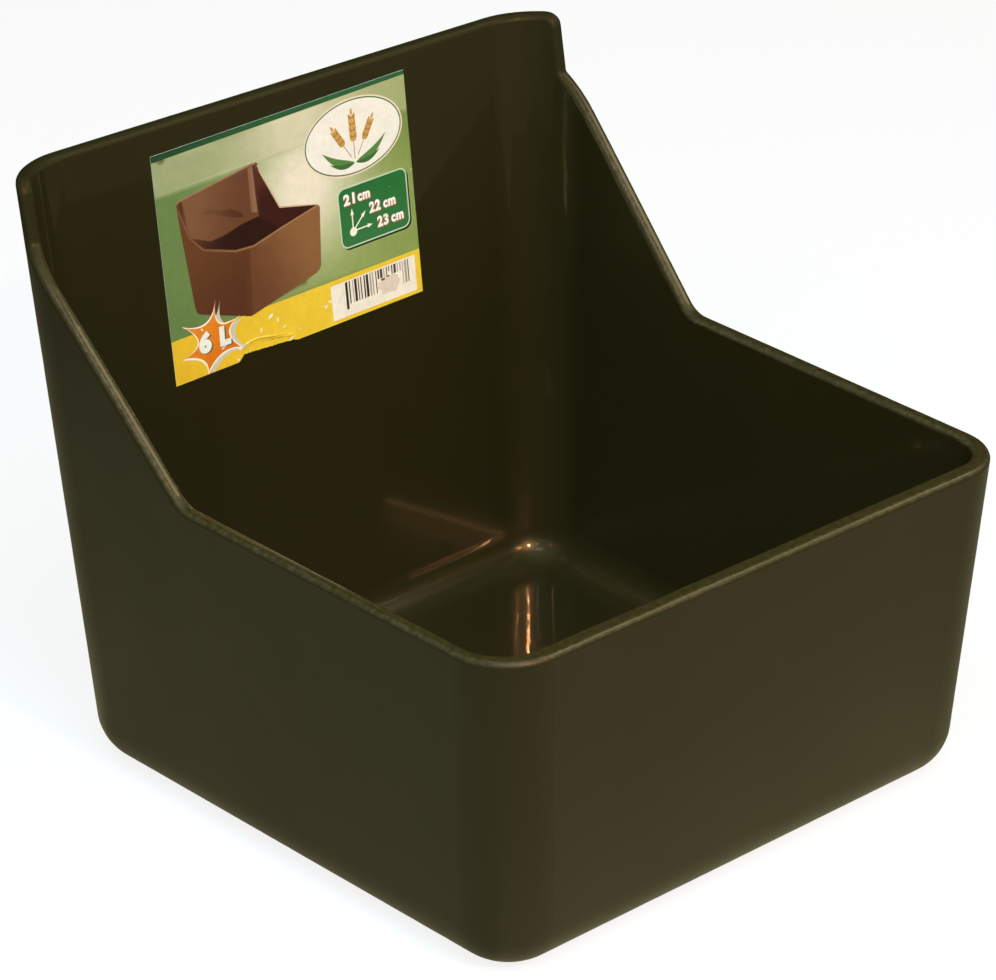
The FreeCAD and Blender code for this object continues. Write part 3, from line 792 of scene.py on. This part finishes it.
def plastic_material():
    """Deep olive brown, glossier on the cavity side, rubbed along the rim; the paler tone on the
    rim's sloping and rounded parts is also a painted highlight.
    """
    material = bpy.data.materials.new("moulded_polypropylene")
    net = Graph(material)
    pos = net.source("ShaderNodeTexCoord", "Object")
    normal = net.source("ShaderNodeNewGeometry", "Normal")
    pos_z = net.split(pos)[2]
    normal_z = net.split(normal)[2]
    # 1 on the cavity side and the rim, 0 on the outside
    to_axis = net.vector("NORMALIZE", a=net.vector("MULTIPLY", a=pos, b=(-1.0, -1.0, 0.0)))
    facing = net.vector("DOT_PRODUCT", a=to_axis, b=normal)
    inner = net.ramp(net.add(facing, normal_z), start=0.0, end=0.5)

    # slightly uneven colour with the faint flow cloudiness of a moulding
    cloud = net.grain(pos, scale=9.0)
    streak = net.grain(net.mapping(pos, Scale=(1.0, 1.0, 0.18)), scale=42.0, detail=3.0, rough=0.6)
    speck = net.grain(pos, scale=1800.0, rough=0.7)
    colour = net.mix(cloud, OLIVE, OLIVE_CLOUD)
    colour = net.mix(net.multiply(streak, 0.35), colour, OLIVE_STREAK)
    colour = net.mix(net.multiply(speck, 0.22), colour, OLIVE_SPECK)

    # thin scratches, in patches
    stretched = net.mapping(pos, Rotation=(0.5, 0.35, 0.2), Scale=(1.0, 1.0, 0.06))
    lines = net.ramp(net.noise(stretched, scale=900.0, detail=1.0), start=0.79, end=0.83)
    patches = net.ramp(net.noise(pos, scale=38.0, detail=1.0), start=0.60, end=0.72)
    scratch = net.multiply(lines, patches)
    colour = net.mix(net.multiply(scratch, 0.35), colour, SCRATCH_TONE)

    # paler rubbed marks on the rim, weaker on its highest part; on the rim's sloping and rounded
    # parts this paler tone is also a painted highlight
    rim = net.multiply(net.ramp(normal_z, start=0.10, end=0.60),
                       net.ramp(pos_z, start=0.100, end=0.107))
    blotch = net.ramp(net.noise(pos, scale=520.0, detail=3.0, rough=0.65), start=0.38, end=0.66)
    level = net.ramp(normal_z, start=0.88, end=0.97)
    rubbed = net.multiply(rim, net.ramp(pos_z, start=0.150, end=0.190, low=1.0, high=0.10))
    # this mix paints rubbed wear, and on the rim's sloping and rounded parts also a painted
    # highlight
    colour = net.mix(net.multiply(rubbed, net.add(net.multiply(blotch, 0.50), 0.20)),
                     colour, net.mix(level, SLOPE_WEAR_AND_HIGHLIGHT, WORN_FLAT))

    # roughness, and the duller highest part of the rim
    patch = net.grain(pos, scale=26.0, detail=3.0, rough=0.6)
    rough = net.mix_float(inner, net.add(ROUGH_OUT, net.multiply(patch, 0.05)),
                          net.add(ROUGH_IN, net.multiply(patch, 0.03)))
    dull = net.multiply(rim, net.ramp(pos_z, start=0.165, end=0.192))
    worn = net.add(net.multiply(rim, net.multiply(blotch, 0.16)), net.multiply(dull, 0.18))
    rough = net.add(net.add(rough, worn), net.multiply(scratch, 0.2), clamp=True)
    coat = net.multiply(net.mix_float(inner, COAT_OUT, COAT_IN),
                        net.subtract(1.0, net.multiply(dull, 0.88)))

    # fine texture outside, faint orange peel all over
    fine = net.noise(pos, scale=2200.0, rough=0.6)
    peel = net.noise(pos, scale=130.0)
    height = net.add(net.multiply(fine, net.subtract(1.15, inner)), net.multiply(peel, 0.28))
    height = net.subtract(height, net.multiply(scratch, 0.6))
    shader = net.node("ShaderNodeBsdfPrincipled", {
        "Base Color": colour, "Roughness": rough, "IOR": 1.49,
        "Specular IOR Level": net.subtract(0.5, net.multiply(dull, 0.34)),
        "Coat Weight": coat,
        "Coat Roughness": net.mix_float(inner, COAT_ROUGH_OUT, COAT_ROUGH_IN),
        "Normal": net.bump(height, strength=0.22, distance=0.00004)})
    net.node("ShaderNodeOutputMaterial", {0: shader.outputs[0]})
    return material


plastic = plastic_material()
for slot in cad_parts["trough_shell"].material_slots:
    slot.material = plastic


# ------------------------------------------------------------------ floor
FLOOR_HALF = 5.0
FLOOR_GLOW = (0.33, 0.30, 0.165)        # light given off, as every ray but the camera's sees it
FLOOR_SEEN_GLOW = (0.86, 0.858, 0.855)  # the same for the camera


def floor_material():
    """Pale to the camera; dark to other rays, with a glow strongest around the trough."""
    material = bpy.data.materials.new("pale_floor")
    net = Graph(material)
    pos = net.source("ShaderNodeTexCoord", "Object")
    camera_ray = net.source("ShaderNodeLightPath", "Is Camera Ray")
    grain = net.grain(pos, scale=300.0, detail=3.0, rough=0.6)
    pale = net.mix(grain, (0.150, 0.150, 0.150), (0.165, 0.165, 0.165))
    diffuse = net.node("ShaderNodeBsdfPrincipled", {
        "Base Color": net.mix(camera_ray, (0.02, 0.018, 0.012), pale),
        "Roughness": 0.9, "Specular IOR Level": 0.1})

    # glow falls off with distance and grows toward +X
    near = net.ramp(net.vector("LENGTH", a=pos), start=0.30, end=0.62, low=1.0, high=0.12)
    x, y, _ = net.split(pos)
    near = net.multiply(near, net.ramp(x, start=-0.28, end=0.28, low=0.95, high=1.18))
    # extra glow at the foot of the trough, more on its -Y and +Y sides
    side = net.math("MAXIMUM", net.math("ABSOLUTE", x), net.math("ABSOLUTE", y))
    ahead = net.math("GREATER_THAN", net.math("ABSOLUTE", y), net.math("ABSOLUTE", x))
    lift = net.add(net.multiply(ahead, 0.45), 0.12)
    foot = net.multiply(net.ramp(side, start=0.120, end=0.180, low=1.0, high=0.0), lift)
    glow = net.vector("SCALE", a=FLOOR_GLOW, scale=net.multiply(near, net.add(foot, 1.0)))
    emission = net.node("ShaderNodeEmission", {0: net.mix(camera_ray, glow, FLOOR_SEEN_GLOW)})
    both = net.node("ShaderNodeAddShader", {0: diffuse.outputs[0], 1: emission.outputs[0]})
    net.node("ShaderNodeOutputMaterial", {0: both.outputs[0]})
    return material


def make_floor():
    mesh = bpy.data.meshes.new("floor")
    signs = ((-1, -1), (1, -1), (1, 1), (-1, 1))
    mesh.from_pydata([(x * FLOOR_HALF, y * FLOOR_HALF, 0) for x, y in signs], [], [(0, 1, 2, 3)])
    ob = bpy.data.objects.new("floor", mesh)
    scene.collection.objects.link(ob)
    mesh.materials.append(floor_material())


# ------------------------------------------------------------------ world and lights
def make_world():
    """Near-white to the camera; dim to other rays, dimmer still away from the camera's side."""
    world = bpy.data.worlds.new("studio")
    scene.world = world
    net = Graph(world)
    direction = net.source("ShaderNodeTexCoord", "Generated")
    beyond = net.vector("DOT_PRODUCT", a=direction, b=(0.59, 0.68, 0.435))
    strength = net.ramp(beyond, start=0.45, end=0.85, low=1.0, high=0.22, kind="LINEAR")
    light = net.node("ShaderNodeBackground", {0: (0.23, 0.23, 0.10, 1.0), 1: strength})
    backdrop = net.node("ShaderNodeBackground", {0: (0.95, 0.95, 0.945, 1)})
    mixed = net.node("ShaderNodeMixShader", {
        0: net.source("ShaderNodeLightPath", "Is Camera Ray"),
        1: light.outputs[0], 2: backdrop.outputs[0]})
    net.node("ShaderNodeOutputWorld", {0: mixed.outputs[0]})


def outward_direction(azimuth, elevation):
    """Direction from the trough; azimuth 0 is -Y and grows toward +X. Angles in radians."""
    return Vector((math.sin(azimuth) * math.cos(elevation),
                   -math.cos(azimuth) * math.cos(elevation), math.sin(elevation)))


LIGHT_TARGET = (0.0, 0.0, 0.1)
LIGHTS = [
    # name, azimuth, elevation, distance, width, height, watts per channel, seen in reflections
    ("lamp_right", -10.5, 37, 1.5, 0.04, 0.04, (7.0, 3.2, 1.3), True),
    ("lamp_far_right", -7.5, 37, 1.5, 0.04, 0.04, (7.0, 3.05, 1.2), True),
    ("lamp_left", -76, 36, 1.5, 0.05, 0.05, (0.25, 0.12, 0.055), True),
    ("lamp_left_spread", -66, 40, 1.5, 0.4, 0.4, (3.7, 2.0, 1.05), False),
    ("lamp_spread", -22, 40, 1.5, 0.5, 0.5, (1.4, 6.3, 6.8), False),
    ("window", -41, 56, 1.6, 0.45, 0.30, (0.65, 0.62, 0.40), True),
    ("window_spread", -41, 57, 1.6, 1.1, 0.9, (7.8, 18.2, 28.6), False),
    ("small_window", -35, 36, 1.5, 0.05, 0.05, (0.12, 0.18, 0.22), True),
    ("right", 52, 43, 1.5, 0.8, 0.6, (4.6, 3.8, 2.2), True),
]


def make_light(name, azimuth, elevation, distance, width, height, watts, in_reflections):
    direction = outward_direction(math.radians(azimuth), math.radians(elevation))
    light = bpy.data.lights.new(name, "AREA")
    light.shape = "RECTANGLE"
    light.size, light.size_y = width, height
    light.energy = max(watts)
    light.color = [value / max(watts) for value in watts]
    ob = bpy.data.objects.new(name, light)
    scene.collection.objects.link(ob)
    ob.location = Vector(LIGHT_TARGET) + direction * distance
    ob.rotation_mode = "QUATERNION"
    ob.rotation_quaternion = (-direction).to_track_quat("-Z", "Y")
    ob.visible_glossy = in_reflections


# ------------------------------------------------------------------ camera
CAMERA_ANGLES = (-41.0634, 25.7648, -1.1003)    # azimuth, elevation, roll in degrees
CAMERA_TARGET = (0.0, 0.0, 0.102)
CAMERA_DISTANCE = 1.332685
CAMERA_SHIFT_RIGHT, CAMERA_SHIFT_UP = -0.0054246, -0.0052455
LENS = 151.3301204819                           # focal length, mm


def make_camera():
    azimuth, elevation, roll = (math.radians(angle) for angle in CAMERA_ANGLES)
    level = Vector((math.cos(azimuth), math.sin(azimuth), 0.0))
    back = outward_direction(azimuth, elevation)
    upright = back.cross(level)
    right = level * math.cos(roll) + upright * math.sin(roll)
    up = -level * math.sin(roll) + upright * math.cos(roll)
    data = bpy.data.cameras.new("camera")
    data.sensor_width = 36.0
    data.lens = LENS
    data.clip_start, data.clip_end = 0.05, 20.0
    camera = bpy.data.objects.new("camera", data)
    scene.collection.objects.link(camera)
    matrix = Matrix((right, up, back)).transposed().to_4x4()
    matrix.translation = (Vector(CAMERA_TARGET) + back * CAMERA_DISTANCE
                          + right * CAMERA_SHIFT_RIGHT + up * CAMERA_SHIFT_UP)
    camera.matrix_world = matrix
    scene.camera = camera


make_floor()
make_world()
for row in LIGHTS:
    make_light(*row)
make_camera()
scene.view_settings.view_transform = "Standard"
scene.view_settings.look = "None"
